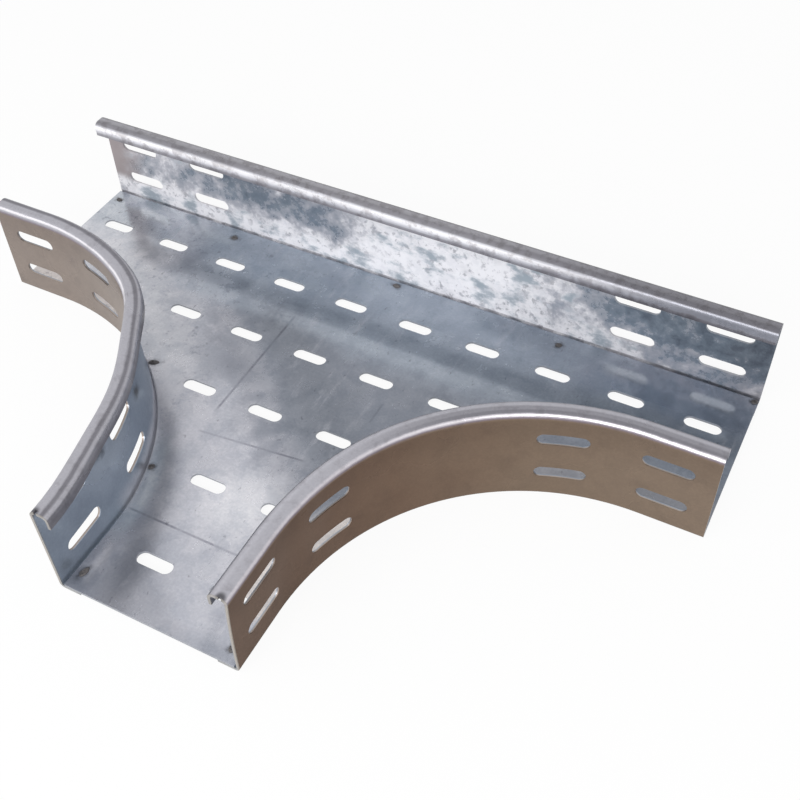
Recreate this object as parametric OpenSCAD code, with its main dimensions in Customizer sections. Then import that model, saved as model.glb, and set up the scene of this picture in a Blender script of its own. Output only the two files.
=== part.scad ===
// Equal tee for a perforated cable tray, folded and welded from galvanised sheet steel.
// X runs along the tray, Y points to the closed back, Z is up. The foot of the rails is at Z = 0.

/* [Tray] */
// Clear width between facing rails
clear_w = 100; // [70:1:300]
// Height of the rails over all
rail_h = 60; // [46:1:110]
// Thickness of the sheet
sheet_t = 1.5; // [1:0.1:2.5]

/* [Plan] */
// Radius of the curved rails at their outer face
bend_r = 130; // [90:1:300]
// Straight leg at each end of a curved rail
leg_len = 34; // [20:1:120]

/* [Rail section] */
// Width of the foot that is folded in under the base plate
foot_w = 12; // [8:0.5:25]
// Reach of the rim from the rail's outer face
flange_w = 10.5; // [10:0.5:20]
// Height of the lip folded down at the rim's inner edge
lip_h = 8.5; // [5.5:0.5:12]
// Inside radius of the fold at the foot
foot_fold_r = 1; // [0.5:0.25:3]
// Inside radius of the two folds at the rim
rim_fold_r = 2; // [1:0.25:3]

/* [Rim ends] */
// Length of the relief notch where the rim's fold meets its flat, at a branch end
relief_l = 2; // [1:0.5:8]
// Width of the relief notch
relief_w = 1.5; // [1:0.5:4]
// Distance from the rail's outer face to the relief notch
relief_in = 3; // [2:0.5:4]

/* [Rail slots] */
// Width of every slot
slot_w = 7.5; // [5:0.5:9]
// Length of a rail slot from end to end
rail_slot_l = 26; // [15:0.5:32]
// Centre of the first slot from the rail's end
end_slot = 24; // [18:0.5:40]
// Pitch of the slots along the rail
rail_slot_pitch = 51; // [40:0.5:80]
// Rise from the lower to the upper slots
slot_rise = 24.5; // [15:0.5:28]

/* [Floor slots] */
// Length of a floor slot from end to end
floor_slot_l = 20.5; // [12:0.5:30]
// Pitch of the slots along a row
floor_pitch = 43; // [34:0.5:60]
// First row from the back rail's outer face
first_row = 33.5; // [24:0.5:45]
// Pitch of the first three rows
row_pitch = 48; // [30:0.5:58]
// Last row from the branch end
end_row = 30; // [15:0.5:45]
// Pitch of the last two rows
branch_row_pitch = 52.5; // [30:0.5:65]
// Sideways shift of the last row
end_row_shift = 4.5; // [-6:0.5:6]
// Slots in the first row
row_1_slots = 10; // [2:2:20]
// Slots in the second row
row_2_slots = 6; // [2:2:20]
// Slots in the third row
row_3_slots = 4; // [2:2:12]
// Slots in each branch row
branch_slots = 2; // [2:2:6]
// Least distance from a slot's end to the base plate's edge
edge_margin = 4; // [2:0.5:10]

/* [Base plate] */
// Gap between the base plate's edge and the inside of the foot's fold
edge_gap = 0.3; // [0.1:0.1:1]

/* [Hidden] */
$fn = 64;
// Outer width of the run and of the branch
rail_span = clear_w + 2 * sheet_t;
half_w = rail_span / 2;
// A curved rail reaches this far along the run, and as far along the branch
reach = bend_r + leg_len;
half_l = half_w + reach;
depth = rail_span + reach;
back_y = depth / 2;
front_y = back_y - rail_span;
branch_y = -depth / 2;
// Centre of the right curved rail
arc_x = half_w + bend_r;
arc_y = front_y - bend_r;
// Outside radii of the folds
foot_out = foot_fold_r + sheet_t;
rim_out = rim_fold_r + sheet_t;
// The base plate's edge, measured in from a rail's outer face
base_edge = foot_out + edge_gap;
base_r = bend_r + base_edge;
low_slot_z = rail_h / 2 - slot_rise / 2;
high_slot_z = rail_h / 2 + slot_rise / 2;
end_slots = [end_slot, end_slot + rail_slot_pitch];
// Rows as distances from the back rail's outer face
run_rows = [first_row, first_row + row_pitch, first_row + 2 * row_pitch];
run_counts = [row_1_slots, row_2_slots, row_3_slots];
branch_rows = [depth - end_row - branch_row_pitch, depth - end_row];
row_shifts = [0, end_row_shift];
over = 1;

// Half the floor's length at a row that lies d from the back, where the curved rails narrow it
function floor_half(d) =
    d <= rail_span - base_edge ? half_l
    : d >= rail_span + bend_r ? half_w - base_edge
    : arc_x - sqrt(base_r * base_r - pow(rail_span + bend_r - d, 2));

// Slots on one side of a row: as many as wanted, or as many as the floor has room for
function half_count(wanted, d, shift) =
    min(wanted / 2,
        floor((floor_half(d + slot_w / 2) - abs(shift) - edge_margin - floor_slot_l / 2) / floor_pitch + 0.5));

// Angle round the curved rail's centre of a point s from the rail's end, measured along its outer face
function arc_angle(s) = (s - leg_len) * 180 / (PI * bend_r);

// One quarter of a fold, from the X axis to the Y axis
module fold_quarter(inside_r) {
    intersection() {
        difference() {
            circle(r = inside_r + sheet_t);
            circle(r = inside_r);
        }
        square(inside_r + sheet_t);
    }
}

// Section of every rail: X goes in from the outer face, Y goes up
module rail_section() {
    translate([foot_out, 0])
        square([foot_w - foot_out, sheet_t]);
    translate([foot_out, foot_out])
        rotate(180)
            fold_quarter(foot_fold_r);
    translate([0, foot_out])
        square([sheet_t, rail_h - foot_out - rim_out]);
    translate([rim_out, rail_h - rim_out])
        rotate(90)
            fold_quarter(rim_fold_r);
    translate([rim_out, rail_h - sheet_t])
        square([flange_w - 2 * rim_out, sheet_t]);
    translate([flange_w - rim_out, rail_h - rim_out])
        fold_quarter(rim_fold_r);
    translate([flange_w - sheet_t, rail_h - lip_h])
        square([sheet_t, lip_h - rim_out]);
}

// Straight piece of rail along X with its outer face at Y = 0
module straight_rail(len) {
    rotate([90, 0, 90])
        linear_extrude(len)
            rail_section();
}

// Slot that lies along X and is cut through along Z
module slot_cutter(len, deep) {
    run = len - slot_w;
    for (side = [-1, 1])
        translate([side * run / 2, 0, 0])
            cylinder(d = slot_w, h = deep);
    translate([-run / 2, -slot_w / 2, 0])
        cube([run, slot_w, deep]);
}

// Two slots above each other, through a rail whose outer face is at Y = 0
module slot_pair() {
    for (z = [low_slot_z, high_slot_z])
        translate([0, sheet_t + over, z])
            rotate([90, 0, 0])
                slot_cutter(rail_slot_l, sheet_t + 2 * over);
}

// Pair of slots near the run end of the right curved rail, s from the end
module run_slot_pair(s) {
    if (s <= leg_len)
        translate([half_l - s, front_y, 0])
            slot_pair();
    else
        translate([arc_x, arc_y, 0])
            rotate([0, 0, arc_angle(s)])
                translate([0, bend_r, 0])
                    slot_pair();
}

// Pair of slots near the branch end of the right curved rail, s from the end
module branch_slot_pair(s) {
    if (s <= leg_len)
        translate([half_w, branch_y + s, 0])
            rotate([0, 0, 90])
                slot_pair();
    else
        translate([arc_x, arc_y, 0])
            rotate([0, 0, 90 - arc_angle(s)])
                translate([0, bend_r, 0])
                    slot_pair();
}

// Curved rail on the right of the branch
module curved_rail() {
    difference() {
        union() {
            translate([arc_x, front_y, 0])
                straight_rail(leg_len);
            translate([arc_x, arc_y, 0])
                rotate([0, 0, 90])
                    rotate_extrude(angle = 90)
                        translate([bend_r, 0])
                            rail_section();
            translate([half_w, branch_y, 0])
                rotate([0, 0, 90])
                    straight_rail(leg_len);
        }
        for (s = end_slots) {
            run_slot_pair(s);
            branch_slot_pair(s);
        }
        translate([half_w, branch_y, rail_h - rim_out])
            rotate([0, 0, 90])
                translate([-over, relief_in, 0])
                    cube([relief_l + over, relief_w, rim_out + over]);
    }
}

// Plan of the base plate without its slots
module floor_plan() {
    translate([-half_l, front_y + base_edge])
        square([2 * half_l, rail_span - 2 * base_edge]);
    translate([base_edge - half_w, branch_y])
        square([rail_span - 2 * base_edge, depth - base_edge]);
    for (side = [0, 1])
        mirror([side, 0])
            difference() {
                translate([0, arc_y])
                    square([arc_x, bend_r + base_edge]);
                translate([arc_x, arc_y])
                    circle(r = base_r, $fn = 180);
            }
}

// One row of floor slots, d from the back
module slot_row(d, wanted, shift) {
    n = half_count(wanted, d, shift);
    if (n > 0)
        for (i = [-n : n - 1])
            translate([(i + 0.5) * floor_pitch + shift, back_y - d, sheet_t - over])
                slot_cutter(floor_slot_l, sheet_t + 2 * over);
}

module base_plate() {
    color([0.60, 0.63, 0.67])
        difference() {
            translate([0, 0, sheet_t])
                linear_extrude(sheet_t)
                    floor_plan();
            for (i = [0 : 2])
                if (run_rows[i] + 2 * slot_w <= branch_rows[0])
                    slot_row(run_rows[i], run_counts[i], 0);
            for (i = [0 : 1])
                slot_row(branch_rows[i], branch_slots, row_shifts[i]);
        }
}

module back_rail() {
    color([0.66, 0.68, 0.71])
        translate([half_l, back_y, 0])
            rotate([0, 0, 180])
                difference() {
                    straight_rail(2 * half_l);
                    for (s = end_slots)
                        for (x = [s, 2 * half_l - s])
                            translate([x, 0, 0])
                                slot_pair();
                }
}

module left_curved_rail() {
    color([0.63, 0.65, 0.68])
        mirror([1, 0, 0])
            curved_rail();
}

module right_curved_rail() {
    color([0.63, 0.65, 0.68])
        curved_rail();
}

base_plate();
back_rail();
left_curved_rail();
right_curved_rail();
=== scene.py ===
# Cable tray tee of galvanised sheet steel: the sheets with their zinc, the tack welds and a white studio
import bpy
import math
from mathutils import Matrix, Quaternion, Vector


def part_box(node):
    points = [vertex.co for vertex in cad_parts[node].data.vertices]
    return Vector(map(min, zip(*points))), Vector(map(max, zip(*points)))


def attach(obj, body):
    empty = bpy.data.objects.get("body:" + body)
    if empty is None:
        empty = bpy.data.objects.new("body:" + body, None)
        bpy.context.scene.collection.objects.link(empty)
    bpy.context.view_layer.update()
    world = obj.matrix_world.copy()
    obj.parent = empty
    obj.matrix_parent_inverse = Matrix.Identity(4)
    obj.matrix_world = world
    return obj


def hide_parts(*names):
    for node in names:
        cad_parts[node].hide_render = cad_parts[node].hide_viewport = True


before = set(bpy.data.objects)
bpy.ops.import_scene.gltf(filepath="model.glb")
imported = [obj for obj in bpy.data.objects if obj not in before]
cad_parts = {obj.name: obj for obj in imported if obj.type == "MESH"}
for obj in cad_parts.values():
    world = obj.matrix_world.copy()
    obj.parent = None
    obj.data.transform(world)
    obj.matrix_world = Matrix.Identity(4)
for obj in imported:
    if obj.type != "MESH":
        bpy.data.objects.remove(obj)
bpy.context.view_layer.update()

# Sizes of the tee in metres, from the frame and the few sizes that its boxes don't give
CLEAR_W = 0.100
BEND_R = 0.130
FLANGE_W = 0.0105
LIP_H = 0.0085
RIM_BEND = 0.0035
floor_low, floor_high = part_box("base_plate")
_, back_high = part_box("back_rail")
SHEET_T = floor_high.z - floor_low.z
FLOOR_Z = floor_high.z
RAIL_H = back_high.z
HALF_L = back_high.x
BACK_Y = back_high.y
HALF_W = CLEAR_W / 2 + SHEET_T
FRONT_Y = BACK_Y - 2 * HALF_W
ARC_X = HALF_W + BEND_R
ARC_Y = FRONT_Y - BEND_R
LEG_L = HALF_L - ARC_X

# Relief notch at each branch end of a rim: its middle from the outer face, its length, and the burr
NOTCH_IN = 0.00375
NOTCH_L = 0.0020
BURR_L = 0.0012
BURRED = "right_curved_rail"

# Edges of the cut sheet
MERGE = 1e-6
FLAT = math.radians(0.4)
SHARP = math.radians(40)
EASE_W = 0.00022
EASE_STEPS = 2
FLAT_WEIGHT = 80

# How the curved rails' rims stand out near the branch, with places along the rail from its run end
LEANS = {
    "left_curved_rail": {
        "way": -1, "most": 0.0087, "place": 0.188, "reach": 0.0585, "straighter": 1.0, "drawn_in": 0.0006,
    },
    "right_curved_rail": {
        "way": 1, "most": 0.0027, "place": 0.272, "reach": 0.0850, "straighter": 0.0, "drawn_in": 0.0,
    },
}
# Where along a rail its wall leans straighter, and where its rim starts and stops being drawn in
STRAIGHTER = (0.205, 0.235)
DRAWN_FROM = (0.130, 0.160)
DRAWN_TO = (0.245, 0.222)
# Heights at which a wall is cut so that it can bend, and the parts that each leg is cut into
LEAN_LEVELS = (0.012, 0.024, 0.036, 0.048)
LEAN_LEG_PARTS = 4

# The bead of a tack weld, with the rise and shrink of each step of its outline
BEAD_R = 0.0017
BEAD_SIDES = 20
BEAD_STEPS = ((0.0005, 0.94), (0.0004, 0.78), (0.0002, 0.66), (-0.0003, 0.60), (0.0004, 0.50))
BEAD_CROWN = BEAD_R / 12
BEAD_UNEVEN = 0.00045
BEAD_SEED = 5
BEAD_SINK = 0.0002
# Tack welds between floor and feet: x, y, stretch, and turn in degrees
WELDS = {
    "back_weld_1": (-0.2100, 0.1225, 1.3, 0),
    "back_weld_2": (-0.1190, 0.1225, 1.3, 12),
    "back_weld_3": (-0.0050, 0.1270, 1.5, 0),
    "back_weld_4": (0.1020, 0.1225, 1.3, 36),
    "back_weld_5": (0.2135, 0.1285, 1.3, 48),
    "left_weld_1": (-0.0992, 0.0084, 2.0, 25),
    "left_weld_2": (-0.0545, -0.0550, 1.2, 70),
    "left_weld_3": (-0.0445, -0.1235, 2.0, 80),
    "right_weld_1": (0.0985, 0.0090, 1.5, -40),
    "right_weld_2": (0.0545, -0.0550, 1.2, -70),
    "right_weld_3": (0.0430, -0.1262, 1.4, -80),
}


def pick_only(piece):
    bpy.ops.object.select_all(action="DESELECT")
    piece.select_set(True)
    bpy.context.view_layer.objects.active = piece


def finish_modifier(piece, kind, **settings):
    modifier = piece.modifiers.new(kind.title(), kind)
    for name, value in settings.items():
        setattr(modifier, name, value)
    pick_only(piece)
    bpy.ops.object.modifier_apply(modifier=modifier.name)


# The four sheets

def sheet_skin(node):
    """A copy of one solid's surface, joined up and with its flat faces whole."""
    skin = bpy.data.objects.new(node + "_sheet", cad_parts[node].data.copy())
    bpy.context.scene.collection.objects.link(skin)
    skin.data.materials.clear()
    pick_only(skin)
    bpy.ops.mesh.customdata_custom_splitnormals_clear()
    bpy.ops.object.mode_set(mode="EDIT")
    bpy.ops.mesh.select_all(action="SELECT")
    bpy.ops.mesh.remove_doubles(threshold=MERGE)
    bpy.ops.mesh.dissolve_limited(angle_limit=FLAT)
    bpy.ops.object.mode_set(mode="OBJECT")
    return skin


def ease_edges(skin):
    """Rounds the cut edges a little, as shears and punch leave them, and shades the folds smooth."""
    finish_modifier(
        skin, "BEVEL", width=EASE_W, segments=EASE_STEPS, limit_method="ANGLE", angle_limit=SHARP,
    )
    bpy.ops.object.shade_smooth_by_angle(angle=SHARP)
    finish_modifier(skin, "WEIGHTED_NORMAL", keep_sharp=True, weight=FLAT_WEIGHT)


def cut_across(place, normal):
    """Adds edges to the picked skin where a plane cuts it."""
    bpy.ops.object.mode_set(mode="EDIT")
    bpy.ops.mesh.select_all(action="SELECT")
    bpy.ops.mesh.bisect(plane_co=place, plane_no=normal)
    bpy.ops.object.mode_set(mode="OBJECT")


def eased(value, low, high):
    """0 before low, 1 past high, and a smooth rise between."""
    part = min(max((value - low) / (high - low), 0.0), 1.0)
    return part * part * (3 - 2 * part)


def along_in_and_out(way, x, y):
    """A point of a curved rail: how far from the run end, how far in, and which way is out of the tray."""
    aside = way * x
    across = max(ARC_X - aside, 0.0)
    forward = max(y - ARC_Y, 0.0)
    inset = math.hypot(across, forward) - BEND_R
    if across == 0.0:
        return HALF_L - aside, inset, (0.0, -1.0)
    if forward == 0.0:
        return LEG_L + BEND_R * math.pi / 2 + ARC_Y - y, inset, (way, 0.0)
    turn = math.atan2(across, forward)
    return LEG_L + BEND_R * turn, inset, (way * math.sin(turn), -math.cos(turn))


def lean_rim(skin, way, most, place, reach, straighter, drawn_in):
    """Lets a rail's wall lean out near the branch, most at the rim, which keeps its shape."""
    pick_only(skin)
    for level in LEAN_LEVELS:
        cut_across((0, 0, level), (0, 0, 1))
    for i in range(1, LEAN_LEG_PARTS):
        part = LEG_L * i / LEAN_LEG_PARTS
        cut_across((0, ARC_Y - part, 0), (0, 1, 0))
        cut_across((way * (ARC_X + part), 0, 0), (1, 0, 0))
    lip_top = RAIL_H - RIM_BEND
    for vertex in skin.data.vertices:
        along, inset, out = along_in_and_out(way, vertex.co.x, vertex.co.y)
        on_lip = inset > FLANGE_W / 2 and vertex.co.z > RAIL_H / 2
        height = 1.0 if on_lip else vertex.co.z / RAIL_H
        power = 2 - straighter * eased(along, *STRAIGHTER)
        lean = most * math.exp(-((along - place) / reach) ** 4) * height ** power
        if on_lip:
            drawn = drawn_in * eased(along, *DRAWN_FROM) * eased(along, *DRAWN_TO)
            lean += drawn
            if vertex.co.z < lip_top:
                vertex.co.z += drawn * (lip_top - vertex.co.z) / (LIP_H - RIM_BEND)
        vertex.co.x += lean * out[0]
        vertex.co.y += lean * out[1]


def close_notch(skin):
    """Draws the inner end of a rim's relief notch towards the rail's end, as a burr closes it."""
    for vertex in skin.data.vertices:
        on_top = vertex.co.z > RAIL_H - 1.5 * RIM_BEND
        if on_top and abs(vertex.co.y + BACK_Y - NOTCH_L) < NOTCH_L / 10:
            vertex.co.y -= BURR_L


# The tack welds

def weld_bead():
    """One tack weld round the origin: a low puddle with a ring round its crown."""
    bpy.ops.object.select_all(action="DESELECT")
    bpy.ops.mesh.primitive_circle_add(vertices=BEAD_SIDES, radius=BEAD_R, fill_type="NGON")
    bead = bpy.context.object
    bpy.ops.object.mode_set(mode="EDIT")
    bpy.ops.mesh.select_mode(type="FACE")
    bpy.ops.mesh.select_all(action="SELECT")
    for rise, shrink in BEAD_STEPS:
        bpy.ops.mesh.extrude_region_move(TRANSFORM_OT_translate={"value": (0, 0, rise)})
        bpy.ops.transform.resize(value=(shrink, shrink, 1))
    bpy.ops.mesh.inset(thickness=BEAD_CROWN)
    bpy.ops.mesh.select_all(action="SELECT")
    bpy.ops.transform.vertex_random(offset=BEAD_UNEVEN, seed=BEAD_SEED)
    bpy.ops.mesh.normals_make_consistent(inside=False)
    bpy.ops.object.mode_set(mode="OBJECT")
    finish_modifier(bead, "SUBSURF", levels=1, render_levels=1)
    bpy.ops.object.shade_smooth()
    return bead


def set_weld(bead, name, x, y, stretch, turn):
    """A copy of the bead on the floor at x, y, drawn out along its own turned axis."""
    weld = bead.copy()
    weld.data = bead.data.copy()
    weld.name = name
    bpy.context.scene.collection.objects.link(weld)
    weld.location = (x, y, FLOOR_Z - BEAD_SINK)
    weld.rotation_euler = (0, 0, math.radians(turn))
    weld.scale = (stretch, 1, 1)
    pick_only(weld)
    bpy.ops.object.transform_apply(location=True, rotation=True, scale=True)
    return weld


def all_welds():
    bead = weld_bead()
    welds = [set_weld(bead, name, *place) for name, place in WELDS.items()]
    bpy.data.objects.remove(bead)
    return welds


# Ways to build a finish

class Finish:
    """One material, and short ways to add to its nodes. Places are metres in the tee's own frame."""

    def __init__(self, name):
        self.material = bpy.data.materials.new(name)
        self.material.use_nodes = True
        self.tree = self.material.node_tree
        self.shader = self.tree.nodes["Principled BSDF"]
        self.at = self.add("ShaderNodeTexCoord").outputs["Object"]
        self.x, self.y, self.z = self.split(self.at)

    def feed(self, socket, value):
        if isinstance(value, bpy.types.NodeSocket):
            self.tree.links.new(value, socket)
        else:
            socket.default_value = value

    def add(self, kind, inputs=None, **settings):
        node = self.tree.nodes.new(kind)
        for name, value in settings.items():
            setattr(node, name, value)
        for key, value in (inputs or {}).items():
            self.feed(node.inputs[key], value)
        return node

    def split(self, vector):
        return self.add("ShaderNodeSeparateXYZ", {0: vector}).outputs

    def calc(self, operation, *values):
        return self.add("ShaderNodeMath", dict(enumerate(values)), operation=operation).outputs[0]

    def vector(self, operation, *values):
        return self.add("ShaderNodeVectorMath", dict(enumerate(values)), operation=operation).outputs[0]

    def product(self, first, *others):
        for value in others:
            first = self.calc("MULTIPLY", first, value)
        return first

    def total(self, *parts):
        """The sum of some values, each times its weight."""
        result = None
        for value, weight in parts:
            part = self.calc("MULTIPLY", value, weight)
            result = self.calc("ADD", result, part) if result else part
        return result

    def largest(self, first, *others):
        for value in others:
            first = self.calc("MAXIMUM", first, value)
        return first

    def step(self, value, low, high, first=0.0, last=1.0, kind="SMOOTHSTEP"):
        """Goes from first to last as the value goes from low to high."""
        spread = {"Value": value, "From Min": low, "From Max": high, "To Min": first, "To Max": last}
        return self.add("ShaderNodeMapRange", spread, interpolation_type=kind).outputs[0]

    def between(self, value, rise, fall):
        """1 between a rise and a fall, each given from its outer end to its inner end."""
        return self.product(self.step(value, *rise), self.step(value, *fall))

    def ramp(self, value, *stops):
        """The colour at a value, between colours that are set at rising places from 0 to 1."""
        node = self.add("ShaderNodeValToRGB", {0: value})
        band = node.color_ramp.elements
        for place, _ in stops[1:-1]:
            band.new(place)
        for element, (place, colour) in zip(band, stops):
            element.position = place
            element.color = colour
        return node.outputs[0]

    def mix(self, share, under, over, kind):
        node = self.add("ShaderNodeMix", {0: share, 6: under, 7: over}, data_type="RGBA", blend_type=kind)
        return node.outputs[2]

    def blend(self, share, under, over):
        return self.mix(share, under, over, "MIX")

    def darken(self, share, colour, by):
        return self.mix(share, colour, by, "MULTIPLY")

    def dull(self, share, colour, most):
        """Takes a colour down to most where it is brighter."""
        return self.mix(share, colour, most, "DARKEN")

    def noise(self, scale, detail=4.0, roughness=0.55, at=None):
        inputs = {"Vector": at or self.at, "Scale": scale, "Detail": detail, "Roughness": roughness}
        return self.add("ShaderNodeTexNoise", inputs).outputs["Fac"]

    def wander(self, scale):
        """A random colour that changes from place to place, for pushing places about."""
        node = self.add("ShaderNodeTexNoise", {"Vector": self.at, "Scale": scale, "Detail": 3.0})
        return node.outputs["Color"]

    def stretched(self, squeeze):
        return self.vector("MULTIPLY", self.at, squeeze)

    def crystals(self, size, ragged=0.4):
        """A tone from 0 to 1 for each zinc crystal, with ragged outlines."""
        pushed = self.vector("MULTIPLY_ADD", self.wander(2.5 / size), (ragged * size,) * 3, self.at)
        cells = self.add("ShaderNodeTexVoronoi", {"Vector": pushed, "Scale": 1 / size})
        return self.add("ShaderNodeSeparateColor", {0: cells.outputs["Color"]}).outputs[0]

    def strewn(self, reach, scale):
        """The place of a point after a random push of up to half the reach, for ragged outlines."""
        centred = self.vector("SUBTRACT", self.wander(scale), (0.5, 0.5, 0.5))
        return self.vector("MULTIPLY_ADD", centred, (reach,) * 3, self.at)

    def seat(self, place, reach, turn, at):
        """Places measured from a middle, along turned axes, in parts of the reach along each."""
        seat = self.add("ShaderNodeMapping", {"Vector": at}, vector_type="TEXTURE")
        seat.inputs["Location"].default_value = place
        seat.inputs["Rotation"].default_value = (0, 0, math.radians(turn))
        seat.inputs["Scale"].default_value = reach
        return seat.outputs[0]

    def patch(self, place, reach, turn=0.0, solid=0.0, at=None):
        """1 in the middle of an oval, fading to 0 at its rim."""
        seat = self.seat(place, reach, turn, at or self.at)
        away = self.add("ShaderNodeVectorMath", {0: seat}, operation="LENGTH").outputs["Value"]
        return self.step(away, 1.0, solid)

    def floor_patch(self, x, y, reach_x, reach_y, turn=0.0, solid=0.2):
        return self.patch((x, y, FLOOR_Z), (reach_x, reach_y, 0.05), turn, solid)

    def scribed(self, start, end, width):
        """1 along a straight line scribed on the floor from start to end."""
        mid = ((start[0] + end[0]) / 2, (start[1] + end[1]) / 2, FLOOR_Z)
        turn = math.degrees(math.atan2(end[1] - start[1], end[0] - start[0]))
        half = math.hypot(end[0] - start[0], end[1] - start[1]) / 2
        along, across, _ = self.split(self.seat(mid, (half, width, 1), turn, self.at))
        ends = self.step(self.calc("ABSOLUTE", along), 1.0, 0.85)
        return self.product(ends, self.step(self.calc("ABSOLUTE", across), 1.0, 0.2))

    def bump(self, height, distance):
        node = self.add("ShaderNodeBump", {"Height": height, "Distance": distance, "Strength": 1.0})
        self.feed(self.shader.inputs["Normal"], node.outputs[0])

    def wire(self, colour, roughness, metallic):
        self.feed(self.shader.inputs["Base Color"], colour)
        self.feed(self.shader.inputs["Roughness"], roughness)
        self.feed(self.shader.inputs["Metallic"], metallic)
        return self.material


# Width over which a finish goes from the tee's left side to its right
SIDE_BLEND = 0.001
# How deep in the sheet its cut edges start to show and show in full
CUT_FROM = 0.0002
CUT_FULL = 0.0005


def place_on_curve(f):
    """How far from the run end a point of a curved rail lies, and how far in from its leaning face."""
    aside = f.calc("ABSOLUTE", f.x)
    across = f.calc("MAXIMUM", f.calc("SUBTRACT", ARC_X, aside), 0.0)
    forward = f.calc("MAXIMUM", f.calc("SUBTRACT", f.y, ARC_Y), 0.0)
    span = f.calc("SQRT", f.calc("ADD", f.product(across, across), f.product(forward, forward)))
    before = f.calc("MAXIMUM", f.calc("SUBTRACT", aside, ARC_X), 0.0)
    after = f.calc("MAXIMUM", f.calc("SUBTRACT", ARC_Y, f.y), 0.0)
    along = f.total((f.calc("ARCTAN2", across, forward), BEND_R), (before, -1.0), (after, 1.0))
    along = f.calc("ADD", along, LEG_L)
    height = f.calc("DIVIDE", f.z, RAIL_H)
    for lean in LEANS.values():
        away = f.calc("DIVIDE", f.calc("SUBTRACT", along, lean["place"]), lean["reach"])
        square = f.product(away, away)
        swell = f.calc("EXPONENT", f.product(square, square, -1.0))
        upward = f.calc("POWER", height, f.step(along, *STRAIGHTER, 2.0, 2.0 - lean["straighter"]))
        edge = SIDE_BLEND * lean["way"]
        on_side = f.step(f.x, -edge, edge, 0.0, lean["most"])
        span = f.calc("ADD", span, f.product(f.product(swell, upward), on_side))
    return along, f.calc("SUBTRACT", span, BEND_R)


def over_rim(f, inset):
    """The way over a rail's rim: 0 where the outer wall starts to bend, 1 at the lip's lower edge."""
    drop = f.calc("SUBTRACT", RAIL_H, f.z)
    side = f.step(inset, 0.4 * FLANGE_W, 0.6 * FLANGE_W, -1.0, 1.0, "LINEAR")
    unrolled = f.calc("ADD", inset, f.product(drop, side))
    return f.step(unrolled, -RIM_BEND, FLANGE_W + LIP_H, kind="LINEAR")


def on_rim(f, inset):
    """1 on the rim with its lip, 0 on the wall below."""
    top = f.step(f.z, RAIL_H - 0.0046, RAIL_H - 0.0032)
    lip = f.product(f.step(inset, 0.0040, 0.0055), f.step(f.z, 0.0440, 0.0480))
    return f.largest(top, lip)


def rim_wear(f, along, inset):
    """Streaks drawn along the rim, and the worn places on it."""
    on_strip = f.add("ShaderNodeCombineXYZ", {0: along, 1: inset, 2: f.z}).outputs[0]
    streaks = f.noise(1.0, 4, 0.6, f.vector("MULTIPLY", on_strip, (18, 700, 700)))
    return streaks, f.noise(150, 5, 0.65)


def inside_sheet(f, inset):
    """1 on the cut edges of a rail's wall, between its two faces."""
    return f.between(inset, (CUT_FROM, CUT_FULL), (SHEET_T - CUT_FROM, SHEET_T - CUT_FULL))


# Colours of the zinc
SLATE = (0.118, 0.142, 0.182, 1)
TEAL_GREY = (0.205, 0.248, 0.300, 1)
DARK_BLUE = (0.232, 0.249, 0.287, 1)
BLUE_GREY = (0.278, 0.296, 0.340, 1)
BACK_REFLECTION_GREY = (0.345, 0.390, 0.455, 1)
MID_ZINC = (0.445, 0.450, 0.495, 1)
PALE_ZINC = (0.58, 0.585, 0.635, 1)
BRIGHT_ZINC = (0.62, 0.62, 0.67, 1)
SNOWY_ZINC = (0.82, 0.81, 0.84, 1)
GLINT_WHITE = (0.95, 0.94, 0.97, 1)
# Colours of places on the floor
GLARE = (0.88, 0.87, 0.90, 1)
LEFT_LIGHT = (0.78, 0.78, 0.82, 1)
WARM_LIGHT = (0.86, 0.79, 0.75, 1)
LIFTED_BLUE = (0.53, 0.58, 0.66, 1)
RIM_GLEAM = (0.60, 0.65, 0.71, 1)
HIGHLIGHT_STRIP_GREY = (0.60, 0.65, 0.70, 1)
GLOSSY_GREY = (0.61, 0.635, 0.68, 1)
MIRROR_GREY = (0.37, 0.40, 0.46, 1)
FLOOR_CUT = (0.25, 0.26, 0.29, 1)
# Colours of places on the back rail
MOTTLE_GREY = (0.56, 0.57, 0.63, 1)
ISLAND_BLUE = (0.34, 0.395, 0.45, 1)
END_REFLECTION_BROWN = (0.30, 0.262, 0.270, 1)
BACK_CUT = (0.36, 0.36, 0.39, 1)
# Colours of the curved rails' faces
WARM_GREY = (0.286, 0.240, 0.212, 1)
BROWN_GREY = (0.222, 0.168, 0.127, 1)
MID_BROWN = (0.206, 0.152, 0.112, 1)
DARK_BROWN = (0.171, 0.114, 0.081, 1)
DEEP_BROWN = (0.142, 0.089, 0.061, 1)
UMBER = (0.165, 0.114, 0.087, 1)
INNER_GREY = (0.34, 0.395, 0.47, 1)
INNER_PALE = (0.40, 0.45, 0.52, 1)
CURVE_CUT = (0.44, 0.38, 0.34, 1)
END_CUT = (0.36, 0.34, 0.31, 1)
# Colours of the rims
DIM_RIM = (0.22, 0.215, 0.240, 1)
COOL_RIM = (0.240, 0.236, 0.258, 1)
PURPLE_GREY = (0.240, 0.205, 0.240, 1)
SOFT_RIM = (0.29, 0.285, 0.31, 1)
RIM_GREY = (0.30, 0.295, 0.325, 1)
LIT_RIM = (0.345, 0.34, 0.375, 1)
DULL_RIM = (0.43, 0.44, 0.49, 1)
PALE_RIM = (0.44, 0.435, 0.475, 1)
PALER_RIM = (0.50, 0.495, 0.54, 1)
BEND_HIGHLIGHT = (0.62, 0.59, 0.63, 1)
BRIGHT_HIGHLIGHT = (0.82, 0.79, 0.82, 1)
LEFT_HIGHLIGHT = (0.86, 0.84, 0.88, 1)
# Colours of burns and welds
SOOT = (0.045, 0.043, 0.048, 1)
WELD_DARK = (0.060, 0.056, 0.058, 1)
WELD_PALE = (0.15, 0.14, 0.14, 1)
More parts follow.
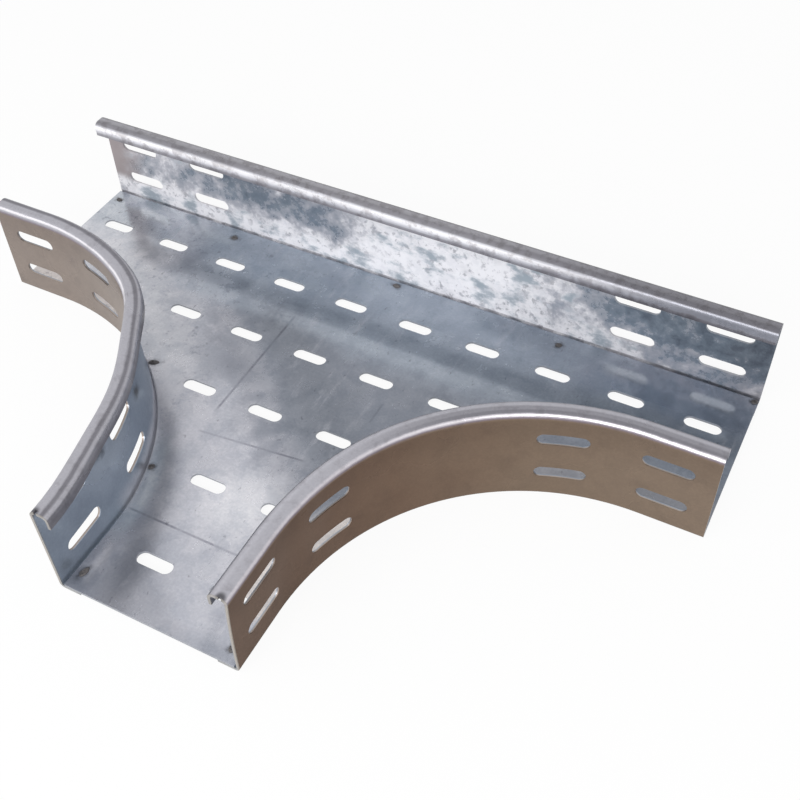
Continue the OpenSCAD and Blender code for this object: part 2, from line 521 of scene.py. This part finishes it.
# Shades that darken what is under them, from weak to strong
FAINT_SHADE = (0.82, 0.85, 0.88, 1)
TOP_SHADE = (0.70, 0.68, 0.68, 1)
RIM_SHADE = (0.62, 0.65, 0.68, 1)
WEAR_SHADE = (0.62, 0.60, 0.60, 1)
CURVE_WEAR_SHADE = (0.58, 0.56, 0.56, 1)
WISP_SHADE = (0.55, 0.60, 0.66, 1)
WALL_SHADE = (0.55, 0.58, 0.62, 1)
CURVE_WISP_SHADE = (0.55, 0.55, 0.6, 1)
RIGHT_SHADE = (0.55, 0.52, 0.52, 1)
END_SHADE = (0.52, 0.55, 0.59, 1)
CRYSTAL_SHADE = (0.5, 0.55, 0.6, 1)
FLECK_SHADE = (0.50, 0.50, 0.54, 1)
RIM_END_SHADE = (0.5, 0.5, 0.53, 1)
SMUDGE_SHADE = (0.45, 0.45, 0.5, 1)
GRAIN_SHADE = (0.4, 0.4, 0.45, 1)
SPOT_SHADE = (0.38, 0.38, 0.41, 1)
LINE_SHADE = (0.35, 0.35, 0.40, 1)
SPECK_SHADE = (0.35, 0.35, 0.38, 1)
FOOT_SHADE = (0.30, 0.30, 0.34, 1)
# Share of bare zinc that mirrors what is round it; the rest is a dull skin
BARE = 0.55

# Lines scribed on the floor: start, end and half width
SCRIBED_LINES = (
    ((-0.0465, 0.080), (-0.0465, -0.009), 0.0011),
    ((0.0333, 0.0385), (0.0333, 0.0220), 0.0010),
    ((-0.048, -0.023), (0.017, -0.016), 0.0010),
    ((-0.051, -0.082), (0.030, -0.082), 0.0010),
)
# Reach of the burnt ring round a weld
BURN_R = 0.0036
# Spots of painted shade at the rims' relief notches, which stand out with the rims, and their reach
NOTCH_SHADE_SPOTS = (NOTCH_IN - HALF_W - 0.0010, HALF_W - NOTCH_IN + 0.0027)
NOTCH_SHADE_REACH = (0.0034, 0.0045, 0.007)
# Dark smudges on the left rail's inner wall, and their reach
WALL_SMUDGES = ((-0.0695, -0.0372, 0.0365), (-0.0540, -0.0835, 0.043))
SMUDGE_REACH = (0.0060, 0.0085, 0.0050)


def floor_zinc():
    """The floor: cloudy blue-grey zinc, paler to the left and in the branch, with a painted highlight in
    the branch and painted reflections, light and shade along the walls, and burnt at the welds.
    """
    f = Finish("floor_zinc")
    _, inset = place_on_curve(f)
    cloud = f.noise(22, 4, 0.6)
    wisps = f.noise(80, 6, 0.65)
    scuffs = f.noise(120, 6, 0.7, f.stretched((1.0, 0.25, 1.0)))
    grain = f.noise(700, 2, 0.5)
    crystal = f.crystals(0.010)
    blotch = f.total((cloud, 0.048), (wisps, 0.030))

    # Broad tones from the back's right end to the branch
    towards_branch = f.total((f.x, -0.93), (f.y, -1.0), (blotch, 1.0))
    colour = f.ramp(
        f.step(towards_branch, -0.051, 0.169, kind="LINEAR"),
        (0.13, BLUE_GREY), (0.26, DARK_BLUE), (0.34, DARK_BLUE), (0.42, BLUE_GREY), (0.53, MID_ZINC),
        (0.59, PALE_ZINC), (0.66, BRIGHT_ZINC), (0.78, BRIGHT_ZINC), (0.88, PALE_ZINC), (0.97, MID_ZINC),
    )
    # Painted highlight: a pale glare on the floor in the branch
    glare = f.floor_patch(0.002, -0.056, 0.036, 0.032, solid=0.1)
    colour = f.blend(f.product(glare, 0.8), colour, GLARE)
    to_left = f.step(f.total((f.x, -1.0), (f.y, -0.9), (blotch, 1.0)), 0.084, 0.134)
    colour = f.blend(f.product(to_left, f.step(f.y, -0.01, 0.02)), colour, LEFT_LIGHT)

    # Along the back rail: a painted reflection of the back wall in the floor, lighter to the left, painted
    # shade under the wall, painted reflections of the rim as a dark and a light line, a darker painted
    # reflection of the wall's right end, and a glossier left end
    back_wall_reflection = f.step(f.total((f.y, 1.0), (f.calc("MINIMUM", f.x, 0.0), 0.26), (wisps, 0.02)), 0.062, 0.090)
    back_wall_reflection = f.product(back_wall_reflection, f.step(f.x, -0.165, -0.125))
    colour = f.blend(back_wall_reflection, colour, BACK_REFLECTION_GREY)
    lifted = f.floor_patch(-0.098, 0.088, 0.058, 0.032)
    colour = f.blend(f.product(lifted, 0.7), colour, LIFTED_BLUE)
    # Painted shade on the floor under the back wall
    shade_under_wall = f.floor_patch(0.085, 0.124, 0.045, 0.016)
    colour = f.darken(f.product(shade_under_wall, 0.7), colour, WALL_SHADE)
    in_run = f.between(f.x, (-0.150, -0.125), (0.125, 0.095))
    # Painted reflection of the back rail's rim in the floor: a dark line and a light line
    rim_shade = f.product(f.between(f.y, (0.077, 0.083), (0.095, 0.088)), in_run, 0.45)
    colour = f.darken(rim_shade, colour, RIM_SHADE)
    rim_gleam = f.product(f.between(f.y, (0.065, 0.073), (0.081, 0.077)), in_run, 0.30)
    colour = f.blend(rim_gleam, colour, RIM_GLEAM)
    # Painted reflection of the back wall's dark right end, where the floor is also glossier
    mirrored = f.product(f.step(f.y, 0.088, 0.108), f.step(f.x, 0.100, 0.150))
    colour = f.blend(mirrored, colour, MIRROR_GREY)
    glossy_end = f.product(f.step(f.x, -0.120, -0.160), f.step(f.y, 0.084, 0.106))
    colour = f.blend(glossy_end, colour, GLOSSY_GREY)

    # Along the curved rails: painted light behind the rails, a painted reflection of the left wall with a
    # painted highlight strip at its foot, a darker right end and darker places
    # Painted light: the floor behind the rails, which shows through their slots, is painted pale and warm
    lit_behind_rails = f.step(f.total((inset, 1.0), (wisps, 0.006)), 0.029, 0.0205)
    lit_behind_rails = f.product(lit_behind_rails, f.step(f.y, -0.113, -0.104))
    off_left_wall = f.step(f.calc("ABSOLUTE", f.calc("SUBTRACT", f.x, -0.058)), 0.072, 0.080)
    lit_behind_rails = f.product(lit_behind_rails, off_left_wall, f.step(f.x, 0.080, 0.110, 1.0, 0.25))
    colour = f.blend(lit_behind_rails, colour, WARM_LIGHT)
    to_right = f.step(f.total((f.x, 1.0), (blotch, 0.5)), 0.105, 0.240, 0.0, 0.47)
    colour = f.blend(f.product(to_right, f.step(mirrored, 0.0, 1.0, 1.0, 0.35)), colour, SLATE)
    # Painted reflection of the dark left wall in the floor, where the floor is also glossier
    left_wall_reflection = f.step(f.total((inset, 1.0), (wisps, 0.010)), 0.034, 0.020)
    left_wall_reflection = f.product(left_wall_reflection, f.step(f.x, 0.0, -0.010), f.step(f.y, -0.025, -0.050))
    left_wall_reflection = f.product(left_wall_reflection, f.step(f.y, -0.104, -0.086))
    colour = f.darken(f.product(left_wall_reflection, 0.35), colour, WALL_SHADE)
    # Painted highlight: a pale strip on the floor at the left wall's foot
    highlight_strip = f.product(left_wall_reflection, f.step(inset, 0.014, 0.008))
    colour = f.blend(f.product(highlight_strip, 0.6), colour, HIGHLIGHT_STRIP_GREY)
    dark_places = f.largest(
        f.floor_patch(-0.024, -0.110, 0.014, 0.032, -8, 0.1),
        f.floor_patch(0.040, -0.132, 0.030, 0.013),
        f.floor_patch(-0.044, -0.128, 0.012, 0.010),
        f.floor_patch(-0.062, 0.027, 0.036, 0.020, -20, 0.1),
    )
    uneven = f.step(wisps, 0.35, 0.65, 0.35, 0.85)
    colour = f.darken(f.product(dark_places, uneven), colour, END_SHADE)

    # Scuffs, crystals, specks and scribed lines
    colour = f.blend(f.step(scuffs, 0.54, 0.76, 0.0, 0.35), colour, BRIGHT_ZINC)
    colour = f.darken(f.step(crystal, 0.0, 1.0, 0.16, 0.0), colour, CRYSTAL_SHADE)
    colour = f.darken(f.step(wisps, 0.56, 0.40, 0.0, 0.30), colour, WISP_SHADE)
    colour = f.darken(f.step(grain, 0.35, 0.75, 0.16, 0.0), colour, GRAIN_SHADE)
    smudge = f.noise(38, 6, 0.7, f.stretched((1.0, 0.6, 1.0)))
    colour = f.darken(f.step(smudge, 0.56, 0.78, 0.0, 0.5), colour, SMUDGE_SHADE)
    specks = f.noise(330, 3, 0.6, f.stretched((1.0, 0.55, 1.0)))
    colour = f.darken(f.step(specks, 0.64, 0.72, 0.0, 0.5), colour, SPECK_SHADE)
    flecks = f.step(f.noise(190, 5, 0.68), 0.57, 0.68, 0.0, 0.55)
    colour = f.darken(f.product(flecks, f.step(f.x, -0.030, -0.085)), colour, FLECK_SHADE)
    lines = f.largest(*(f.scribed(*line) for line in SCRIBED_LINES))
    colour = f.darken(f.product(lines, f.step(wisps, 0.38, 0.62, 0.25, 0.75)), colour, LINE_SHADE)

    # Burnt rings round the welds, and the cut edges
    ragged = f.strewn(0.0060, 300)
    burns = []
    for x, y, stretch, turn in WELDS.values():
        burns.append(f.patch((x, y, FLOOR_Z), (BURN_R * stretch, BURN_R, 0.02), turn, 0.2, ragged))
    burnt = f.product(f.largest(*burns), f.step(wisps, 0.30, 0.62, 0.35, 1.0))
    colour = f.blend(f.product(burnt, 0.8), colour, SOOT)
    above_underside = (floor_low.z + 0.0001, floor_low.z + 0.0004)
    cut_edge = f.between(f.z, above_underside, (FLOOR_Z - CUT_FROM, FLOOR_Z - CUT_FULL))
    colour = f.blend(f.product(cut_edge, 0.8), colour, FLOOR_CUT)

    # Gloss
    roughness = f.total(
        (f.step(cloud, 0.3, 0.7, 0.19, 0.27), 1.0), (f.step(wisps, 0.4, 0.8, 0.0, 0.08), 1.0),
        (mirrored, -0.08), (glossy_end, -0.06),
    )
    f.bump(f.total((crystal, 1.0), (grain, 0.5)), 0.00002)
    by_left_curve = f.product(f.step(inset, 0.060, 0.030), f.step(f.x, -0.050, -0.075))
    dulled = f.largest(back_wall_reflection, lit_behind_rails, by_left_curve)
    bare = f.total((dulled, -0.19), (mirrored, 0.42), (left_wall_reflection, 0.10), (glossy_end, 0.21))
    return f.wire(colour, roughness, f.calc("ADD", bare, BARE))


def back_rail_zinc():
    """The back rail: spangled zinc, with a painted white glint in the middle, painted light along the foot
    and a painted dark reflection at the right end.
    """
    f = Finish("back_rail_zinc")
    cloud = f.noise(48, 4, 0.6)
    flecks = f.noise(240, 4, 0.62)
    feather = f.noise(130, 6, 0.64)
    islands = f.noise(46, 5, 0.62, f.stretched((1.0, 1.0, 1.7)))
    crystal = f.crystals(0.0055, 0.9)

    # Tone of the wall from slate to white: the white middle is a painted glint, the white along the foot
    # is painted light thrown up from the floor, the dark right end is a painted reflection, the wall is
    # painted lighter under the rim and lighter to the left, and the noise is the spangle
    middle = f.between(f.x, (-0.060, -0.005), (0.145, 0.055))
    middle = f.product(middle, f.step(f.z, 0.060, 0.030, 0.60, 1.0))
    along_foot = f.product(f.step(f.z, 0.030, 0.006), f.step(f.x, 0.215, 0.075, 0.40, 0.95))
    along_foot = f.product(along_foot, f.step(f.x, -0.208, -0.192, 0.35, 1.0))
    glow = f.largest(middle, along_foot)
    right_end = f.step(f.x, 0.110, 0.165)
    left_half = f.step(f.x, 0.010, -0.070)
    left_end = f.step(f.x, -0.150, -0.172)
    # Painted light just under the rim, where the lip shades the wall
    under_rim = f.step(f.z, 0.034, 0.048)
    tone = f.total(
        (glow, 0.62), (cloud, 0.90), (feather, 0.90), (crystal, 0.10),
        (right_end, -0.12), (left_half, 0.07), (left_end, 0.15), (under_rim, 0.10),
    )
    tone = f.calc("SUBTRACT", tone, 0.69)
    colour = f.ramp(
        tone,
        (0.0, SLATE), (0.22, TEAL_GREY), (0.48, MID_ZINC), (0.66, SNOWY_ZINC), (0.88, GLINT_WHITE),
    )

    # Marks on the pale zinc
    shown = f.step(tone, 0.45, 0.70)
    mottle = f.product(f.step(f.noise(95, 4, 0.6), 0.50, 0.66, 0.0, 0.45), shown)
    mottle = f.product(mottle, f.step(glow, 0.50, 0.95, 1.0, 0.45))
    colour = f.blend(mottle, colour, MOTTLE_GREY)
    spots = f.product(f.step(flecks, 0.53, 0.66), f.step(cloud, 0.62, 0.44, 0.45, 1.0))
    colour = f.darken(f.product(spots, f.product(shown, 0.75)), colour, SPOT_SHADE)
    isle = f.product(f.step(islands, 0.49, 0.66, 0.0, 0.95), shown)
    colour = f.blend(isle, colour, ISLAND_BLUE)

    # The wall's ends and foot: a brown painted reflection at the left end, a darker painted reflection at
    # the right end, and painted shade along the foot
    left_end_reflection = f.step(f.total((f.x, 1.0), (feather, 0.03)), -0.170, -0.195)
    colour = f.blend(f.product(left_end_reflection, f.step(f.z, 0.012, 0.020)), colour, END_REFLECTION_BROWN)
    colour = f.darken(f.step(f.x, 0.185, 0.205, 0.0, 0.5), colour, RIGHT_SHADE)
    dim_foot = f.product(f.step(f.z, 0.0042, 0.0034), f.step(feather, 0.35, 0.55, 0.2, 0.8))
    colour = f.darken(dim_foot, colour, FOOT_SHADE)

    # The rim, with painted highlight and shade bands across its folds that are dimmer to the right, and
    # the cut edges
    inset = f.calc("SUBTRACT", BACK_Y, f.y)
    rim = on_rim(f, inset)
    streaks, wear = rim_wear(f, f.x, inset)
    across = f.total((over_rim(f, inset), 1.0), (streaks, 0.08), (wear, 0.05))
    bands = f.ramp(
        f.calc("SUBTRACT", across, 0.065),
        (0.0, COOL_RIM), (0.25, COOL_RIM), (0.32, LIT_RIM), (0.41, SOFT_RIM), (0.46, DIM_RIM),
        (0.61, DIM_RIM), (0.67, BRIGHT_ZINC), (0.71, GLINT_WHITE), (0.78, GLINT_WHITE),
        (0.85, BRIGHT_ZINC), (0.93, RIM_GREY), (1.0, DIM_RIM),
    )
    bands = f.darken(f.step(wear, 0.46, 0.62, 0.0, 0.75), bands, WEAR_SHADE)
    bands = f.dull(f.step(f.x, 0.090, 0.190), bands, DULL_RIM)
    bands = f.darken(f.step(f.x, 0.030, 0.160, 0.0, 0.75), bands, RIM_END_SHADE)
    colour = f.blend(rim, colour, bands)
    on_wall = f.product(f.step(f.z, 0.003, 0.005), f.step(f.z, 0.050, 0.048, 0.0, 0.6))
    colour = f.blend(f.product(inside_sheet(f, inset), on_wall), colour, BACK_CUT)

    # Gloss
    f.bump(f.total((crystal, 1.0), (feather, 0.6)), 0.00005)
    bare = f.product(f.step(tone, 0.25, 0.60, 0.45, 0.08), f.step(rim, 0.0, 1.0, 1.0, 0.6))
    return f.wire(colour, f.step(tone, 0.2, 0.9, 0.26, 0.45), bare)


def curved_rail_zinc():
    """The curved rails: brown-grey outside as a painted reflection of brown surroundings, slate inside,
    grey on the rim with painted highlight and shade bands.
    """
    f = Finish("curved_rail_zinc")
    along, inset = place_on_curve(f)
    cloud = f.noise(16, 4, 0.55)
    wisps = f.noise(90, 5, 0.6)
    grain = f.noise(800, 2, 0.5)
    crystal = f.crystals(0.010)
    left = f.step(f.x, SIDE_BLEND, -SIDE_BLEND)

    # Outer and inner faces, and the cut edges; the brown of the outer faces is a painted reflection of
    # brown surroundings
    from_run_end = f.step(f.total((along, 1.0), (cloud, 0.05)), 0.025, 0.297, kind="LINEAR")
    brown = f.ramp(
        from_run_end,
        (0.10, BROWN_GREY), (0.35, MID_BROWN), (0.60, DARK_BROWN), (0.74, DEEP_BROWN), (0.86, UMBER),
    )
    brown = f.blend(left, brown, WARM_GREY)
    # Painted shade at the top of the outer faces, under the rim
    brown = f.darken(f.step(f.z, 0.030, 0.056, 0.0, 0.5), brown, TOP_SHADE)
    inner = f.blend(f.step(cloud, 0.35, 0.7), INNER_GREY, INNER_PALE)
    inner = f.darken(f.step(along, 0.205, 0.185), inner, FAINT_SHADE)
    low_strip = f.step(f.total((f.z, 1.0), (wisps, 0.008)), 0.019, 0.010, 0.0, 0.85)
    low_strip = f.product(low_strip, f.step(along, 0.228, 0.214))
    inner = f.blend(low_strip, inner, BRIGHT_ZINC)
    outer = f.step(inset, SHEET_T * 0.6, SHEET_T * 0.4)
    colour = f.blend(outer, inner, brown)
    cut_edge = f.product(inside_sheet(f, inset), f.step(f.z, 0.003, 0.005, 0.0, 0.8))
    colour = f.blend(cut_edge, colour, CURVE_CUT)
    colour = f.darken(f.step(crystal, 0.0, 1.0, 0.10, 0.0), colour, WALL_SHADE)
    colour = f.darken(f.step(wisps, 0.45, 0.75, 0.0, 0.22), colour, CURVE_WISP_SHADE)

    # The rim, with painted highlight and shade bands of its own by the run, by the branch and on the left
    streaks, wear = rim_wear(f, along, inset)
    across = f.total((over_rim(f, inset), 1.0), (streaks, 0.07), (wear, 0.05))
    across = f.calc("SUBTRACT", across, 0.060)
    by_run = f.ramp(
        across,
        (0.0, MID_BROWN), (0.06, PURPLE_GREY), (0.11, BEND_HIGHLIGHT), (0.14, BRIGHT_HIGHLIGHT), (0.17, BEND_HIGHLIGHT),
        (0.21, DIM_RIM), (0.28, DIM_RIM), (0.33, RIM_GREY), (0.40, RIM_GREY), (0.45, PALE_RIM),
        (0.52, PALE_RIM), (0.57, RIM_GREY), (0.62, PALE_RIM), (0.80, PALE_RIM), (0.92, RIM_GREY),
    )
    by_branch = f.ramp(
        across,
        (0.0, MID_BROWN), (0.05, PURPLE_GREY), (0.11, BEND_HIGHLIGHT), (0.15, BEND_HIGHLIGHT), (0.22, PALE_RIM),
        (0.38, PALE_RIM), (0.46, PALER_RIM), (0.53, PALE_RIM), (0.60, RIM_GREY), (0.90, DIM_RIM),
    )
    on_left = f.ramp(
        across,
        (0.0, PURPLE_GREY), (0.07, PALE_RIM), (0.40, PALE_RIM), (0.455, DIM_RIM), (0.51, DIM_RIM),
        (0.57, PALE_RIM), (0.67, PALE_RIM), (0.75, RIM_GREY), (0.83, DIM_RIM),
    )
    bands = f.blend(f.step(along, 0.120, 0.200), by_run, by_branch)
    bands = f.blend(left, bands, on_left)
    left_run = f.product(left, f.step(along, 0.140, 0.110))
    left_highlight = f.product(f.between(across, (0.08, 0.13), (0.21, 0.16)), left_run)
    bands = f.blend(left_highlight, bands, LEFT_HIGHLIGHT)
    bands = f.darken(f.step(wear, 0.48, 0.68, 0.0, 0.35), bands, CURVE_WEAR_SHADE)
    colour = f.blend(on_rim(f, inset), colour, bands)
    colour = f.darken(f.step(grain, 0.35, 0.75, 0.12, 0.0), colour, GRAIN_SHADE)

    # Painted shade at the notches, smudges and the cut ends at the branch
    marks = [f.patch((x, -BACK_Y, RAIL_H), NOTCH_SHADE_REACH, 0, 0.4) for x in NOTCH_SHADE_SPOTS]
    ragged = f.strewn(0.0060, 220)
    marks += [f.patch(place, SMUDGE_REACH, 0, 0.1, ragged) for place in WALL_SMUDGES]
    colour = f.blend(f.product(f.largest(*marks), 0.8), colour, SOOT)
    cut_end = f.step(f.y, 0.0006 - BACK_Y, 0.0003 - BACK_Y, 0.0, 0.7)
    colour = f.blend(cut_end, colour, END_CUT)

    # Gloss: the dull skin has none, which would turn the painted brown reflection grey at a low angle
    f.bump(f.total((crystal, 1.0), (grain, 0.4)), 0.00002)
    f.feed(f.shader.inputs["Specular IOR Level"], 0.0)
    brown_reflection_faces = f.product(outer, f.step(along, 0.190, 0.230))
    bare = f.step(brown_reflection_faces, 0.0, 1.0, BARE, 0.15)
    return f.wire(colour, f.step(cloud, 0.3, 0.7, 0.22, 0.32), bare)


def burnt_weld():
    """The welds: dull sooty steel."""
    f = Finish("burnt_weld")
    cast = f.noise(420, 4, 0.6)
    colour = f.blend(f.step(cast, 0.3, 0.7), WELD_DARK, WELD_PALE)
    f.bump(cast, 0.0002)
    return f.wire(colour, f.step(cast, 0.3, 0.7, 0.55, 0.75), 0.2)


# The studio

FLOOR_SIZE = 8.0
FLOOR_DROP = 0.0003
PAPER_WHITE = (0.9, 0.9, 0.9, 1)
SHADOW_SHARE = 0.08
ROOM_LIGHT = 0.6
# Soft lamps: place, point that each faces, size and power
LAMPS = {
    "front_left_lamp": ((-0.55, -0.75, 1.10), (0, 0.05, 0), (0.9, 0.6), 3),
    "front_lamp": ((0.20, -1.35, 0.80), (0, 0.05, 0.03), (1.6, 0.7), 18),
}
# The photograph's camera: where it stands, the floor point it looks at, its tilt in degrees, its lens
CAMERA_PLACE = (0.2428, -0.3195, 0.4550)
CAMERA_TARGET = (0.0390, 0.0472, 0.0)
CAMERA_ROLL = -2.06
LENS_MM = 50.44
SENSOR_MM = 36


def seen_directly(tree):
    """1 for rays that see the background: from the camera, in a reflection or through glass."""
    path = tree.nodes.new("ShaderNodeLightPath")
    total = path.outputs["Is Camera Ray"]
    for name in ("Is Glossy Ray", "Is Transmission Ray"):
        either = tree.nodes.new("ShaderNodeMath")
        either.operation = "MAXIMUM"
        tree.links.new(total, either.inputs[0])
        tree.links.new(path.outputs[name], either.inputs[1])
        total = either.outputs[0]
    return total


def white_paper():
    """Paper that looks white itself, apart from a weak shadow, and still sends light back."""
    paper = bpy.data.materials.new("white_paper")
    paper.use_nodes = True
    nodes = paper.node_tree.nodes
    links = paper.node_tree.links
    nodes.clear()
    out = nodes.new("ShaderNodeOutputMaterial")
    matt = nodes.new("ShaderNodeBsdfDiffuse")
    matt.inputs["Color"].default_value = PAPER_WHITE
    white = nodes.new("ShaderNodeEmission")
    lit = nodes.new("ShaderNodeMath")
    lit.operation = "MULTIPLY"
    lit.inputs[1].default_value = 1 - SHADOW_SHARE
    links.new(seen_directly(paper.node_tree), lit.inputs[0])
    share = nodes.new("ShaderNodeMixShader")
    links.new(lit.outputs[0], share.inputs[0])
    links.new(matt.outputs[0], share.inputs[1])
    links.new(white.outputs[0], share.inputs[2])
    links.new(share.outputs[0], out.inputs["Surface"])
    return paper


def studio_floor():
    bpy.ops.object.select_all(action="DESELECT")
    bpy.ops.mesh.primitive_plane_add(size=FLOOR_SIZE, location=(0, 0, -FLOOR_DROP))
    floor = bpy.context.object
    floor.name = "studio_floor"
    floor.data.materials.append(white_paper())


def studio_room():
    world = bpy.data.worlds.new("white_room")
    bpy.context.scene.world = world
    world.use_nodes = True
    tree = world.node_tree
    background = tree.nodes["Background"]
    background.inputs["Color"].default_value = (1, 1, 1, 1)
    level = tree.nodes.new("ShaderNodeMapRange")
    level.inputs["To Min"].default_value = ROOM_LIGHT
    level.inputs["To Max"].default_value = 1.0
    tree.links.new(seen_directly(tree), level.inputs["Value"])
    tree.links.new(level.outputs[0], background.inputs["Strength"])


def soft_lamp(name, place, target, size, power):
    bpy.ops.object.select_all(action="DESELECT")
    bpy.ops.object.light_add(type="AREA", location=place)
    lamp = bpy.context.object
    lamp.name = name
    lamp.data.shape = "RECTANGLE"
    lamp.data.size, lamp.data.size_y = size
    lamp.data.energy = power
    lamp.visible_camera = False
    way = Vector(target) - lamp.location
    lamp.rotation_euler = way.to_track_quat("-Z", "Y").to_euler()


def photo_camera():
    bpy.ops.object.select_all(action="DESELECT")
    bpy.ops.object.camera_add(location=CAMERA_PLACE)
    camera = bpy.context.object
    camera.data.sensor_width = SENSOR_MM
    camera.data.lens = LENS_MM
    way = Vector(CAMERA_TARGET) - camera.location
    camera.rotation_mode = "QUATERNION"
    roll = Quaternion((0, 0, 1), math.radians(CAMERA_ROLL))
    camera.rotation_quaternion = way.to_track_quat("-Z", "Y") @ roll
    bpy.context.scene.camera = camera


# Put together

photo_camera()
studio_floor()
studio_room()
for name, setting in LAMPS.items():
    soft_lamp(name, *setting)

rail_finish = curved_rail_zinc()
finishes = {
    "base_plate": (floor_zinc(), "floor_sheet"),
    "back_rail": (back_rail_zinc(), "rail_sheet"),
    "left_curved_rail": (rail_finish, "rail_sheet"),
    "right_curved_rail": (rail_finish, "rail_sheet"),
}
for node, (zinc, slot) in finishes.items():
    sheet = sheet_skin(node)
    if node in LEANS:
        lean_rim(sheet, **LEANS[node])
    if node == BURRED:
        close_notch(sheet)
    ease_edges(sheet)
    sheet.data.materials.append(zinc)
    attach(sheet, "root")
    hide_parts(node)

weld_finish = burnt_weld()
for weld in all_welds():
    weld.data.materials.append(weld_finish)
    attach(weld, "root")

bpy.context.scene.view_settings.view_transform = "Standard"
